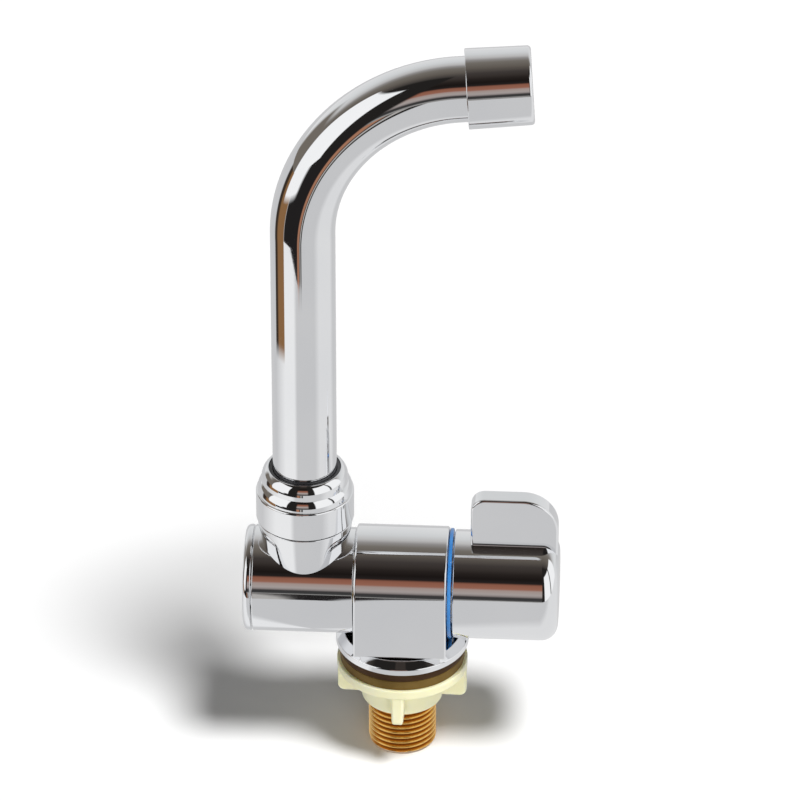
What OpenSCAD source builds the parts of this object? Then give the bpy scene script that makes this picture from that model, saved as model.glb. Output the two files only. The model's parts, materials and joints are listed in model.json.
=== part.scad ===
// Folding caravan tap for cold water. A chromed valve body stands on a threaded deck shank.
// A quarter-turn lever handle works a ceramic disc cartridge on its right, and on its left a
// folding elbow turns on a hollow spindle and carries a swivelling bent spout.
// Origin: shank axis at the deck surface. +X towards the handle, -Y towards the user, +Z up.

/* [Deck fitting] */
// Radius of the base flange
flange_r = 20.5; // [19.5:0.1:23]
// Height of the base flange
flange_h = 3.9; // [3.2:0.1:6]
// Height of the flange's upright edge
flange_edge_h = 2.5; // [1:0.1:3]
// Width of the slope between the flange's edge and its top
flange_slope_w = 2.5; // [1:0.1:4]
// Radius of both deck gaskets
gasket_r = 19.2; // [16:0.1:20.5]
// Thickness of each deck gasket
gasket_t = 3.15; // [2:0.05:5]
// Major radius of the half-inch pipe thread
thread_r = 10.4775; // [10:0.0005:11]
// Root radius of the half-inch pipe thread
thread_root_r = 9.3155; // [9:0.0005:9.8]
// Length of the shank below the deck surface
shank_len = 33.8; // [30:0.1:60]
// Radius of the water bore through the shank
shank_bore_r = 7; // [5:0.1:7.6]

/* [Wing nut] */
// Radius of the nut's pressure flange
nut_flange_r = 20.2; // [18:0.1:24]
// Thickness of the nut's pressure flange
nut_flange_t = 3.2; // [2.4:0.1:6]
// Height of the whole nut
nut_h = 14.1; // [10:0.1:16]
// Radius of the nut's hub at its lower end
nut_hub_r = 12.5; // [12:0.1:14.5]
// Reach of the wings from the shank axis
wing_reach = 20; // [16:0.1:24]
// Thickness of a wing at its root
wing_t = 4.2; // [3:0.1:6]
// Number of wings
wing_count = 4; // [3:1:6]
// Turn of the nut on the thread, in degrees
nut_turn = -1.5; // [-45:0.5:45]

/* [Valve body] */
// Radius of the arched top of the body
body_r = 17.5; // [17:0.1:20]
// Width of the body along the handle axis
body_len = 28.4; // [27:0.1:36]
// Rounding of the body's side edges
body_edge = 0.7; // [0.2:0.1:1.5]
// Width of the coloured cold-water ring
ring_w = 1.5; // [1:0.1:2.5]
// Radius of the coloured cold-water ring
ring_r = 17; // [15.5:0.1:18]

/* [Handle] */
// Radius of the handle's knob
knob_r = 16.7; // [16:0.1:19]
// Length of the knob
knob_len = 32.1; // [28:0.1:40]
// Rounding of the knob's free end
knob_round = 5.2; // [2:0.1:6]
// Wall of the knob
knob_wall = 2.4; // [1.6:0.1:3]
// Height of the lever above the knob
lever_h = 16.2; // [8:0.1:30]
// Width of the lever along the handle axis
lever_w = 27.1; // [20:0.1:27.4]
// Thickness of the lever
lever_t = 6.2; // [4:0.1:9]
// Rounding of the lever's inner top corner
lever_inner_round = 4.2; // [1:0.1:6]
// Rounding of the lever's outer top corner
lever_outer_round = 11; // [4:0.1:14]

/* [Folding elbow] */
// Radius of the elbow's barrel
barrel_r = 16.3; // [15.5:0.1:18]
// Length of the elbow's barrel
barrel_len = 31.2; // [30:0.1:40]
// Thickness of the end cap
cap_t = 2.6; // [2:0.1:5]
// Rounding of the end cap's edge
cap_round = 1.3; // [0.4:0.1:1.8]
// Height of the collar seam above the folding axis
neck_h = 23.6; // [22:0.1:34]
// Offset of the neck from the barrel's middle, towards the body
neck_offset = 0.3; // [-1:0.1:1]
// Wall of the neck where it leaves the barrel
neck_wall = 3.4; // [1.5:0.1:4]
// Radius of the folding spindle's journal
spindle_r = 6.5; // [6:0.1:7]
// Radius of the spindle's water bore
spindle_bore_r = 3.4; // [2.5:0.1:3.8]

/* [Spout] */
// Outer radius of the spout tube
tube_r = 9.75; // [9:0.05:10.5]
// Wall of the spout tube
tube_wall = 1; // [0.8:0.1:1.4]
// Straight run of the tube below the bend
tube_rise = 91.3; // [60:0.1:160]
// Radius of the bend at the tube's middle
bend_r = 49; // [35:0.1:80]
// Angle of the bend, in degrees
bend_angle = 86.5; // [60:0.5:120]
// Straight run of the tube after the bend
tube_end = 12.5; // [11:0.1:30]
// Turn of the spout away from the handle axis, in degrees
spout_swing = 4; // [-45:0.5:45]
// Wall of the collar nut around its thread
collar_wall = 2.45; // [1.8:0.05:4]
// Wall of the nozzle sleeve
nozzle_wall = 2.2; // [1.6:0.1:3.5]
// Length of the nozzle sleeve
nozzle_len = 19.5; // [17:0.1:30]

/* [Hidden] */
$fn = 96;

// Fits and clearances
run_clear = 0.05;
seat_clear = 0.02;
face_clear = 0.05;
seam_gap = 0.25;
cut_over = 1;

// Colours
chrome = [0.80, 0.81, 0.83];
brass = [0.78, 0.55, 0.25];
raw_brass = [0.74, 0.60, 0.32];
rubber_black = [0.10, 0.10, 0.10];
gasket_dark = [0.24, 0.15, 0.10];
gasket_olive = [0.36, 0.29, 0.16];
nut_cream = [0.94, 0.92, 0.74];
cold_blue = [0.14, 0.45, 0.80];
ceramic_white = [0.92, 0.91, 0.87];
ptfe_white = [0.94, 0.94, 0.93];
steel = [0.62, 0.63, 0.65];
dark_plastic = [0.16, 0.16, 0.17];
grey_plastic = [0.55, 0.56, 0.58];

// Heights
under_gap = 0.5;
flange_top = gasket_t + flange_h;
axis_z = flange_top + under_gap + max(knob_r, barrel_r);
apron_gap = 0.4;
apron_z = flange_top + apron_gap;
pedestal_r = 15.5;

// Deck parts
shank_top_r = 9.5;
shank_socket_h = 8.5;
shank_socket_relief = 1;
shank_chamfer = 0.9;
relief_gap = 0.75;
relief_w = 1;
gasket_clear = 0.25;
nut_z = -gasket_t;
nut_bottom = nut_z - nut_h;
nut_hub_taper = 0.7;
wing_lift = 0.6;
wing_sink = 1;
wing_round = 2.2;
wing_draft = 0.4;

// Cartridge, along the handle axis from the body's middle
body_right = body_len / 2;
face_x = body_right + ring_w;
ring_spigot_r = 13;
ring_edge = 0.3;
seat_x = -5;
seat_t = 2;
seat_in_r = 4;
seat_out_r = 7.6;
inlet_r = 4;
passage_r = 3.8;
cart_r = 9;
sleeve_r = 7.9;
disc_r = 6.6;
disc_t = 3;
disc_x = seat_x + seat_t;
port_in_r = 1.8;
port_out_r = 5.4;
port_angle = 76;
driver_x = disc_x + 2 * disc_t + seat_clear;
driver_clear = 0.3;
driver_w = 2 * (disc_r - driver_clear);
driver_t = 3.6;
driver_h = 3.2;
tang_h = 1.2;
window_h = 4;
window_w = 8;
shoulder_gap = 2.4;
shoulder_x = driver_x + driver_h + shoulder_gap;
cart_ring_depth = 1.8;
cart_ring_x = shoulder_x + cart_ring_depth;
cart_ring_section = 0.65;
hex_r = 10.4;
hex_h = 3.8;
head_x = face_x + hex_h;
stem_r = 4;
stem_ring_depth = 2.5;
stem_ring_x = face_x - stem_ring_depth;
stem_ring_section = 0.7;
circlip_gap = 0.15;
circlip_x = head_x + circlip_gap;
circlip_t = 0.9;
circlip_depth = 0.7;
circlip_w = 2;
circlip_mouth = 5.3;
spline_gap = 0.6;
spline_x = circlip_x + circlip_t + spline_gap;
spline_len = 9.5;
spline_step = 0.15;
spline_r = stem_r - spline_step;
spline_teeth = 20;
spline_depth = 0.4;

// Handle, along the same axis
knob_gap = 0.3;
knob_x = face_x + knob_gap;
knob_end = knob_x + knob_len;
knob_end_wall = 4.2;
knob_hub_r = 7.2;
knob_hub_gap = 0.4;
knob_hub_x = spline_x + knob_hub_gap;
lever_end_step = 0.4;
lever_edge = 0.7;
grub_r = 2;
grub_x = spline_x + spline_len / 2;
grub_len = 6;
grub_boss_r = 3.8;
grub_hex_r = 1.15;
grub_hex_depth = 2.2;

// Folding spindle, along the same axis to the left
body_left = -body_len / 2;
spindle_socket_r = 7;
spindle_socket_depth = 7;
spindle_flange_r = 8.8;
spindle_flange_t = 1.2;
washer_t = 1;
barrel_x0 = body_left - seam_gap;
barrel_x1 = barrel_x0 - barrel_len;
barrel_edge = 0.25;
neck_x = (barrel_x0 + barrel_x1) / 2 + neck_offset;
washer_clear = 0.4;
washer_recess_r = spindle_flange_r + washer_clear;
washer_x = body_left - spindle_flange_t;
recess_x = washer_x - washer_t - face_clear;
journal_inset = 5.4;
journal_end = barrel_x1 + journal_inset;
port_groove_w = 9;
port_groove_depth = 0.9;
port_r = 2;
fold_ring_section = 0.7;
fold_ring_inset = [3.6, 2.8];
fold_ring_x = [recess_x - fold_ring_inset[0], journal_end + fold_ring_inset[1]];
end_recess_r = 9.5;
tension_t = 1.1;
tension_r = 8.8;
stub_thread_r = 4;
lock_nut_x = journal_end - face_clear - tension_t;
lock_nut_h = 3;
lock_nut_r = 7.4;
cap_spigot_wall = 1.2;
cap_spigot_len = 2;

// Swivel in the neck, upwards
elbow_passage_r = 4.8;
ferrule_step = 0.8;
ferrule_r = tube_r - ferrule_step;
ferrule_wall = 2.6;
ferrule_flange_t = 1.5;
ferrule_len = 16.3;
ferrule_tail = 4.5;
neck_bore_r = ferrule_r + run_clear;
neck_foot_r = neck_bore_r + neck_wall;
bush_clear = 0.1;
bush_wall = 1.1;
bush_in_r = tube_r + bush_clear;
bush_out_r = bush_in_r + bush_wall;
bush_flange_t = 1.3;
bush_flange_w = 1.3;
bush_flange_r = bush_out_r + bush_flange_w;
ferrule_inset = 0.25;
ferrule_flange_r = bush_flange_r - ferrule_inset;
stub_margin = 0.25;
stub_r = bush_flange_r + stub_margin;
stub_h = 8.9;
collar_r = stub_r + collar_wall;
neck_step = 0.6;
neck_sink = 2;
neck_r = collar_r - neck_step;
seam_z = axis_z + neck_h;
stub_z = seam_z + stub_h;
ferrule_z = stub_z + face_clear;
tube_z = ferrule_z + ferrule_flange_t;
bush_z = tube_z + face_clear;
shoulder_z = bush_z + bush_flange_t + face_clear;
neck_bore_z = stub_z - ferrule_len - face_clear;
spout_ring_section = 0.68;
spout_ring_depth = [5, 11];
spout_ring_z = [ferrule_z - spout_ring_depth[0], ferrule_z - spout_ring_depth[1]];
bend_z = tube_z + tube_rise;
bend_thinning = 0.02;
bend_lap = 0.5;

// Collar profile above its seam
collar_skirt = 10.2;
collar_edge = 0.7;
bead_r = 4.8;
bead_z = 10.2;
bead_inset = 0.45;
dome_r = 4.6;
dome_z = 14.5;
dome_inset = 1.75;
collar_h = 18.2;
collar_lip_drop = 0.5;

// Nozzle, along the spout's outlet from the end of the bend
nozzle_start = 2.5;
nozzle_back_r = tube_r + seat_clear + nozzle_wall;
nozzle_taper = 0.25;
nozzle_round = 1.1;
nozzle_stop = nozzle_start + nozzle_len;
aerator_step = 0.75;
aerator_r = tube_r + aerator_step;
aerator_wall = 1.5;
aerator_washer_t = 1.6;
aerator_washer_lap = 1;
aerator_washer_in_r = tube_r - tube_wall - aerator_washer_lap;
aerator_x = tube_end + aerator_washer_t;
aerator_inset = 0.8;
aerator_grid_t = 1.6;
aerator_rib = 0.7;
aerator_spokes = 12;
aerator_rings = 3;
screen_t = 0.8;
screen_hole_r = 0.55;
screen_rings = 3;

// Places its children with +Z along the handle and folding axis
module along_axis() {
  translate([0, 0, axis_z])
    rotate([0, 90, 0])
      children();
}

// Turns a profile of radius and position about the handle and folding axis
module turned() {
  along_axis()
    rotate_extrude()
      children();
}

// Places its children on the spout's swing plane, at the start of the bend
module at_bend() {
  translate([neck_x, 0, bend_z])
    rotate([0, 0, spout_swing])
      children();
}

// Places its children with +Z along the outlet, at the end of the bend
module at_nozzle() {
  at_bend()
    translate([bend_r, 0, 0])
      rotate([0, bend_angle, 0])
        translate([-bend_r, 0, 0])
          children();
}

// Profile of a ring between two radii and two positions
module band(r0, r1, a, b) {
  translate([r0, a])
    square([r1 - r0, b - a]);
}

// Cutter that rounds the outer corner of a profile, with the material to its left and below
module corner_cut(p, r) {
  translate(p)
    difference() {
      translate([-r, -r])
        square(r + cut_over);
      translate([-r, -r])
        circle(r);
    }
}

// The same cutter for a corner with the material to its left and above
module lower_corner_cut(p, r) {
  translate(p)
    mirror([0, 1])
      corner_cut([0, 0], r);
}

// Profile of a round seal ring
module seal_section(middle_r, section, a) {
  translate([middle_r, a])
    circle(section, $fn = 32);
}

// Pair of opposite water ports through a ceramic disc
module port_pair(turn) {
  reach = 2 * port_out_r;
  half = port_angle / 2;
  for (side = [0, 180])
    rotate(turn + side)
      intersection() {
        difference() {
          circle(port_out_r);
          circle(port_in_r);
        }
        polygon([[0, 0], reach * [cos(half), sin(half)], reach * [cos(half), -sin(half)]]);
      }
}

// Outline of the splined stem end, with a clearance for its socket
module spline_outline(clear) {
  step = 360 / spline_teeth;
  tip = spline_r + clear;
  root = tip - spline_depth;
  polygon([for (i = [0:spline_teeth - 1], s = [0, 1])
    (s == 0 ? tip : root) * [cos((i + s / 2) * step), sin((i + s / 2) * step)]]);
}

// Arched column that carries the cartridge and the folding spindle
module body_column() {
  difference() {
    union() {
      along_axis()
        translate([0, 0, body_left])
          cylinder(r = body_r, h = body_len);
      translate([body_left, -body_r, apron_z])
        cube([body_len, 2 * body_r, axis_z - apron_z]);
    }
    along_axis()
      rotate(90)
        rotate_extrude(angle = 180) {
          corner_cut([body_r, body_right], body_edge);
          lower_corner_cut([body_r, body_left], body_edge);
        }
    for (side = [0, 1], end = [0, 1])
      mirror([end, 0, 0])
        mirror([0, side, 0])
          translate([0, 0, apron_z])
            linear_extrude(axis_z - apron_z)
              corner_cut([body_right, body_r], body_edge);
  }
}

// Round pedestal between the flange and the column, set back under the column's apron
module pedestal() {
  intersection() {
    translate([0, 0, gasket_t])
      cylinder(r = pedestal_r, h = axis_z - gasket_t);
    translate([body_left + body_edge, -pedestal_r, gasket_t])
      cube([body_len - 2 * body_edge, 2 * pedestal_r, apron_z + cut_over - gasket_t]);
  }
}

// Base flange with an upright edge and a sloping shoulder
module base_flange() {
  rotate_extrude()
    polygon([[0, gasket_t], [flange_r, gasket_t], [flange_r, gasket_t + flange_edge_h],
             [flange_r - flange_slope_w, flange_top], [0, flange_top]]);
}

module valve_body() {
  color(chrome)
    difference() {
      union() {
        body_column();
        pedestal();
        base_flange();
        turned()
          band(0, ring_spigot_r, 0, face_x);
      }
      turned() {
        band(0, cart_r, seat_x, face_x + cut_over);
        band(0, passage_r, body_left - cut_over, seat_x + cut_over);
        band(0, spindle_socket_r, body_left - cut_over, body_left + spindle_socket_depth);
      }
      translate([0, 0, gasket_t - cut_over])
        cylinder(r = shank_top_r, h = shank_socket_h + shank_socket_relief + cut_over);
      translate([0, 0, gasket_t])
        cylinder(r = inlet_r, h = axis_z - gasket_t);
    }
}

module threaded_shank() {
  color(brass)
    rotate_extrude()
      difference() {
        union() {
          band(shank_bore_r, thread_r, -shank_len, gasket_t);
          band(shank_bore_r, shank_top_r - seat_clear, gasket_t - cut_over, gasket_t + shank_socket_h);
        }
        band(thread_root_r, thread_r + cut_over, nut_bottom - relief_gap - relief_w, nut_bottom - relief_gap);
        polygon([[thread_r - shank_chamfer, -shank_len],
                 [thread_r + cut_over, -shank_len + shank_chamfer + cut_over],
                 [thread_r + cut_over, -shank_len - cut_over],
                 [thread_r - shank_chamfer, -shank_len - cut_over]]);
      }
}

// Flat rubber deck gasket with its top at a given height
module deck_gasket(top) {
  rotate_extrude()
    band(thread_r + gasket_clear, gasket_r, top - gasket_t, top);
}

module base_gasket() {
  color(gasket_dark)
    deck_gasket(gasket_t);
}

module clamp_gasket() {
  color(gasket_olive)
    deck_gasket(0);
}

// One wing of the nut, from inside its flange down, thinner towards its lower edge
module nut_wing() {
  wing_h = nut_h - nut_flange_t + wing_sink - wing_lift;
  wing_z = nut_bottom + wing_lift;
  foot_t = wing_t - 2 * wing_draft;
  wing_root = (thread_r + nut_hub_r) / 2;
  intersection() {
    translate([0, wing_t, wing_z])
      rotate([90, 0, 0])
        linear_extrude(2 * wing_t)
          difference() {
            translate([wing_root, 0])
              square([wing_reach - wing_root, wing_h]);
            lower_corner_cut([wing_reach, 0], wing_round);
          }
    translate([0, 0, wing_z])
      rotate([90, 0, 90])
        linear_extrude(wing_reach + cut_over)
          polygon([[-foot_t / 2, 0], [foot_t / 2, 0], [wing_t / 2, wing_h], [-wing_t / 2, wing_h]]);
  }
}

module wing_nut() {
  color(nut_cream)
    difference() {
      union() {
        translate([0, 0, nut_z - nut_flange_t])
          cylinder(r = nut_flange_r, h = nut_flange_t);
        translate([0, 0, nut_bottom])
          cylinder(r1 = nut_hub_r, r2 = nut_hub_r + nut_hub_taper, h = nut_h - nut_flange_t / 2);
        for (i = [0:wing_count - 1])
          rotate(nut_turn + i * 360 / wing_count)
            nut_wing();
      }
      translate([0, 0, nut_bottom - cut_over])
        cylinder(r = thread_r + run_clear, h = nut_h + 2 * cut_over);
    }
}

module cold_ring() {
  color(cold_blue)
    turned()
      difference() {
        band(ring_spigot_r + seat_clear, ring_r, body_right, face_x);
        corner_cut([ring_r, face_x], ring_edge);
      }
}

module cartridge_housing() {
  color(raw_brass)
    difference() {
      union() {
        turned() {
          band(disc_r + run_clear, sleeve_r, disc_x, shoulder_x);
          band(stem_r + run_clear, cart_r - seat_clear, shoulder_x, face_x);
        }
        along_axis()
          translate([0, 0, face_x])
            cylinder(r = hex_r, h = hex_h, $fn = 6);
      }
      turned()
        band(0, stem_r + run_clear, face_x - cut_over, head_x + cut_over);
      turned()
        band(cart_r - 2 * cart_ring_section, cart_r + cut_over,
             cart_ring_x - cart_ring_section, cart_ring_x + cart_ring_section);
      translate([driver_x + driver_h / 2 - window_h / 2, -sleeve_r - cut_over, axis_z - window_w / 2])
        cube([window_h, 2 * (sleeve_r + cut_over), window_w]);
    }
}

module cartridge_o_ring() {
  color(rubber_black)
    turned()
      seal_section(cart_r - seat_clear - cart_ring_section, cart_ring_section - seat_clear, cart_ring_x);
}

module seat_seal() {
  color(rubber_black)
    turned()
      band(seat_in_r, seat_out_r, seat_x, disc_x);
}

module fixed_disc() {
  color(ceramic_white)
    along_axis()
      translate([0, 0, disc_x])
        linear_extrude(disc_t)
          difference() {
            circle(disc_r);
            port_pair(0);
          }
}

module moving_disc() {
  color(ceramic_white)
    difference() {
      along_axis()
        translate([0, 0, disc_x + disc_t + seat_clear])
          linear_extrude(disc_t)
            difference() {
              circle(disc_r);
              port_pair(90);
            }
      translate([driver_x - tang_h - seat_clear, -disc_r - cut_over, axis_z - driver_t / 2])
        cube([tang_h + cut_over, 2 * (disc_r + cut_over), driver_t]);
    }
}

module valve_stem() {
  bar_t = driver_t - 2 * seat_clear;
  color(raw_brass)
    difference() {
      union() {
        translate([driver_x - tang_h, -driver_w / 2, axis_z - bar_t / 2])
          cube([tang_h + driver_h, driver_w, bar_t]);
        turned()
          band(0, stem_r, driver_x, spline_x);
        along_axis()
          translate([0, 0, spline_x])
            linear_extrude(spline_len)
              spline_outline(0);
      }
      turned() {
        band(stem_r - 2 * stem_ring_section, stem_r + cut_over,
             stem_ring_x - stem_ring_section, stem_ring_x + stem_ring_section);
        band(stem_r - circlip_depth, stem_r + cut_over, circlip_x, circlip_x + circlip_t);
      }
    }
}

module stem_o_ring() {
  color(rubber_black)
    turned()
      seal_section(stem_r - stem_ring_section, stem_ring_section - seat_clear, stem_ring_x);
}

module stem_circlip() {
  inner_r = stem_r - circlip_depth + seat_clear;
  outer_r = stem_r + circlip_w;
  color(steel)
    along_axis()
      translate([0, 0, circlip_x + seat_clear])
        linear_extrude(circlip_t - 2 * seat_clear)
          difference() {
            circle(outer_r);
            circle(inner_r);
            translate([0, -circlip_mouth / 2])
              square([outer_r + cut_over, circlip_mouth]);
          }
}

// Side outline of the lever, from the handle axis to its top
module lever_outline() {
  top = knob_r + lever_h;
  right = knob_end - lever_end_step;
  left = right - lever_w;
  difference() {
    translate([left, 0])
      square([lever_w, top]);
    corner_cut([right, top], lever_outer_round);
    mirror([1, 0])
      corner_cut([-left, top], lever_inner_round);
  }
}

// Upright lever tab with rounded long edges
module lever_tab() {
  top = knob_r + lever_h;
  translate([0, 0, axis_z])
    intersection() {
      translate([0, lever_t / 2, 0])
        rotate([90, 0, 0])
          linear_extrude(lever_t)
            lever_outline();
      rotate([90, 0, 90])
        linear_extrude(knob_end)
          difference() {
            translate([-lever_t / 2, 0])
              square([lever_t, top]);
            corner_cut([lever_t / 2, top], lever_edge);
            mirror([1, 0])
              corner_cut([lever_t / 2, top], lever_edge);
          }
    }
}

module handle() {
  inner_r = knob_r - knob_wall;
  color(chrome)
    difference() {
      union() {
        difference() {
          union() {
            turned()
              difference() {
                band(0, knob_r, knob_x, knob_end);
                corner_cut([knob_r, knob_end], knob_round);
              }
            lever_tab();
          }
          turned()
            band(0, inner_r, knob_x - cut_over, knob_end - knob_end_wall);
        }
        turned()
          band(0, knob_hub_r, knob_hub_x, knob_end - knob_end_wall + cut_over);
        translate([grub_x, 0, axis_z - inner_r - knob_wall / 2])
          cylinder(r = grub_boss_r, h = inner_r);
      }
      along_axis()
        translate([0, 0, knob_hub_x - cut_over])
          linear_extrude(spline_x + spline_len - knob_hub_x + cut_over + seat_clear)
            spline_outline(seat_clear);
      translate([grub_x, 0, axis_z - knob_r - cut_over])
        cylinder(r = grub_r + seat_clear, h = knob_r + cut_over);
    }
}

module grub_screw() {
  color(steel)
    translate([grub_x, 0, axis_z - stem_r - seat_clear - grub_len])
      difference() {
        cylinder(r = grub_r, h = grub_len);
        translate([0, 0, -cut_over])
          cylinder(r = grub_hex_r, h = grub_hex_depth + cut_over, $fn = 6);
      }
}

module fold_spindle() {
  color(raw_brass)
    difference() {
      turned()
        difference() {
          union() {
            band(0, spindle_socket_r - seat_clear, body_left, body_left + spindle_socket_depth);
            band(0, spindle_flange_r, washer_x, body_left);
            band(0, spindle_r, journal_end, body_left);
            band(0, stub_thread_r, lock_nut_x - lock_nut_h - face_clear, journal_end);
          }
          band(0, spindle_bore_r, neck_x - port_groove_w / 2, body_left + spindle_socket_depth + cut_over);
          band(spindle_r - port_groove_depth, spindle_r + cut_over,
               neck_x - port_groove_w / 2, neck_x + port_groove_w / 2);
          for (a = fold_ring_x)
            band(spindle_r - 2 * fold_ring_section, spindle_r + cut_over,
                 a - fold_ring_section, a + fold_ring_section);
        }
      translate([neck_x, 0, axis_z - spindle_r])
        cylinder(r = port_r, h = 2 * spindle_r);
      translate([neck_x, spindle_r, axis_z])
        rotate([90, 0, 0])
          cylinder(r = port_r, h = 2 * spindle_r);
    }
}

module fold_o_rings() {
  color(rubber_black)
    turned()
      for (a = fold_ring_x)
        seal_section(spindle_r - fold_ring_section, fold_ring_section - seat_clear, a);
}

module friction_washer() {
  color(ptfe_white)
    turned()
      band(spindle_r + seat_clear, spindle_flange_r, washer_x - washer_t, washer_x);
}

module tension_washer() {
  color(steel)
    turned()
      band(stub_thread_r + seat_clear, tension_r, lock_nut_x, lock_nut_x + tension_t);
}

module lock_nut() {
  color(steel)
    along_axis()
      translate([0, 0, lock_nut_x - lock_nut_h])
        difference() {
          cylinder(r = lock_nut_r, h = lock_nut_h, $fn = 6);
          translate([0, 0, -cut_over])
            cylinder(r = stub_thread_r + seat_clear, h = lock_nut_h + 2 * cut_over);
        }
}

module elbow_barrel() {
  foot_h = sqrt(barrel_r * barrel_r - neck_foot_r * neck_foot_r) - neck_sink;
  color(chrome)
    difference() {
      union() {
        turned()
          difference() {
            band(0, barrel_r, barrel_x1, barrel_x0);
            corner_cut([barrel_r, barrel_x0], barrel_edge);
          }
        translate([neck_x, 0, axis_z]) {
          cylinder(r = neck_foot_r, h = foot_h);
          translate([0, 0, foot_h])
            cylinder(r1 = neck_foot_r, r2 = neck_r, h = neck_h - foot_h);
          translate([0, 0, neck_h])
            cylinder(r = stub_r, h = stub_h);
        }
      }
      turned() {
        band(0, spindle_r + run_clear, barrel_x1 - cut_over, barrel_x0 + cut_over);
        band(0, washer_recess_r, recess_x, barrel_x0 + cut_over);
        band(0, end_recess_r, barrel_x1 - cut_over, journal_end);
      }
      translate([neck_x, 0, axis_z])
        cylinder(r = elbow_passage_r, h = neck_h);
      translate([neck_x, 0, neck_bore_z])
        cylinder(r = neck_bore_r, h = stub_z - neck_bore_z + cut_over);
    }
}

module end_cap() {
  color(chrome)
    turned()
      difference() {
        union() {
          band(0, barrel_r, barrel_x1 - cap_t, barrel_x1);
          band(end_recess_r - seat_clear - cap_spigot_wall, end_recess_r - seat_clear,
               barrel_x1 - cut_over, barrel_x1 + cap_spigot_len);
        }
        lower_corner_cut([barrel_r, barrel_x1 - cap_t], cap_round);
      }
}

// Swelling of the collar's profile: upright below a height, round above it
module swelling(inset, r, z) {
  outer = collar_r - inset;
  band(0, outer, 0, z);
  translate([outer - r, z])
    circle(r);
}

// Outer profile of the collar nut: plain skirt, bead and domed lip, above its seam
module collar_outline() {
  difference() {
    band(0, collar_r, 0, collar_skirt);
    corner_cut([collar_r, collar_skirt], collar_edge);
  }
  swelling(bead_inset, bead_r, bead_z);
  swelling(dome_inset, dome_r, dome_z);
}

module collar_nut() {
  color(chrome)
    translate([neck_x, 0, seam_z])
      rotate_extrude()
        difference() {
          intersection() {
            collar_outline();
            band(0, collar_r, face_clear, collar_h);
          }
          band(0, stub_r + seat_clear, 0, shoulder_z - seam_z);
          band(0, bush_out_r + seat_clear, 0, collar_h + cut_over);
        }
}

module swivel_bush() {
  color(dark_plastic)
    translate([neck_x, 0, 0])
      rotate_extrude() {
        band(bush_in_r, bush_flange_r, bush_z, bush_z + bush_flange_t);
        band(bush_in_r, bush_out_r, bush_z, seam_z + collar_h - collar_lip_drop);
      }
}

// Solid that follows the whole spout at a given radius
module spout_sweep(r) {
  translate([neck_x, 0, tube_z])
    cylinder(r = r, h = tube_rise + bend_lap);
  at_bend()
    translate([bend_r, 0, 0])
      rotate([90, 0, 180])
        rotate_extrude(angle = bend_angle)
          translate([bend_r, 0])
            circle(r - bend_thinning);
  at_nozzle()
    translate([0, 0, -bend_lap])
      cylinder(r = r, h = tube_end + bend_lap);
}

module spout_tube() {
  color(chrome)
    difference() {
      spout_sweep(tube_r);
      spout_sweep(tube_r - tube_wall);
    }
}

module spout_ferrule() {
  color(raw_brass)
    translate([neck_x, 0, 0])
      rotate_extrude()
        difference() {
          union() {
            band(ferrule_r - ferrule_wall, ferrule_r, ferrule_z - ferrule_len, ferrule_z);
            band(ferrule_r - ferrule_wall, ferrule_flange_r, ferrule_z, tube_z);
            band(ferrule_r - ferrule_wall, tube_r - tube_wall - seat_clear, tube_z, tube_z + ferrule_tail);
          }
          for (z = spout_ring_z)
            band(ferrule_r - 2 * spout_ring_section, ferrule_r + cut_over,
                 z - spout_ring_section, z + spout_ring_section);
        }
}

module spout_o_rings() {
  color(rubber_black)
    translate([neck_x, 0, 0])
      rotate_extrude()
        for (z = spout_ring_z)
          seal_section(ferrule_r - spout_ring_section, spout_ring_section - seat_clear, z);
}

module nozzle_sleeve() {
  front_r = nozzle_back_r - nozzle_taper;
  color(chrome)
    at_nozzle()
      rotate_extrude()
        difference() {
          polygon([[0, nozzle_start], [nozzle_back_r, nozzle_start], [front_r, nozzle_stop], [0, nozzle_stop]]);
          corner_cut([front_r, nozzle_stop], nozzle_round);
          band(0, tube_r + seat_clear, nozzle_start - cut_over, tube_end);
          band(0, aerator_r + seat_clear, tube_end, nozzle_stop + cut_over);
        }
}

module aerator_washer() {
  color(rubber_black)
    at_nozzle()
      rotate_extrude()
        band(aerator_washer_in_r, aerator_r, tube_end, aerator_x);
}

// Outlet grid of the aerator: rings and spokes
module aerator_grid() {
  inner_r = aerator_r - aerator_wall;
  pitch = inner_r / (aerator_rings + 1);
  for (i = [1:aerator_rings]) {
    ring = i * pitch;
    difference() {
      circle(ring + aerator_rib / 2);
      circle(ring - aerator_rib / 2);
    }
  }
  difference() {
    for (i = [0:aerator_spokes - 1])
      rotate(i * 360 / aerator_spokes)
        translate([0, -aerator_rib / 2])
          square([inner_r + aerator_wall / 2, aerator_rib]);
    circle(pitch);
  }
}

module aerator_insert() {
  color(grey_plastic)
    at_nozzle() {
      rotate_extrude()
        band(aerator_r - aerator_wall, aerator_r, aerator_x, nozzle_stop - aerator_inset);
      translate([0, 0, nozzle_stop - aerator_inset - aerator_grid_t])
        linear_extrude(aerator_grid_t)
          aerator_grid();
    }
}

module aerator_screen() {
  outer_r = aerator_r - aerator_wall - seat_clear;
  pitch = (outer_r - 2 * screen_hole_r) / screen_rings;
  color(steel)
    at_nozzle()
      translate([0, 0, nozzle_stop - aerator_inset - aerator_grid_t - screen_t])
        linear_extrude(screen_t)
          difference() {
            circle(outer_r);
            for (ring = [1:screen_rings], i = [0:6 * ring - 1])
              rotate(i * 60 / ring)
                translate([ring * pitch, 0])
                  circle(screen_hole_r, $fn = 24);
          }
}

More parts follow.
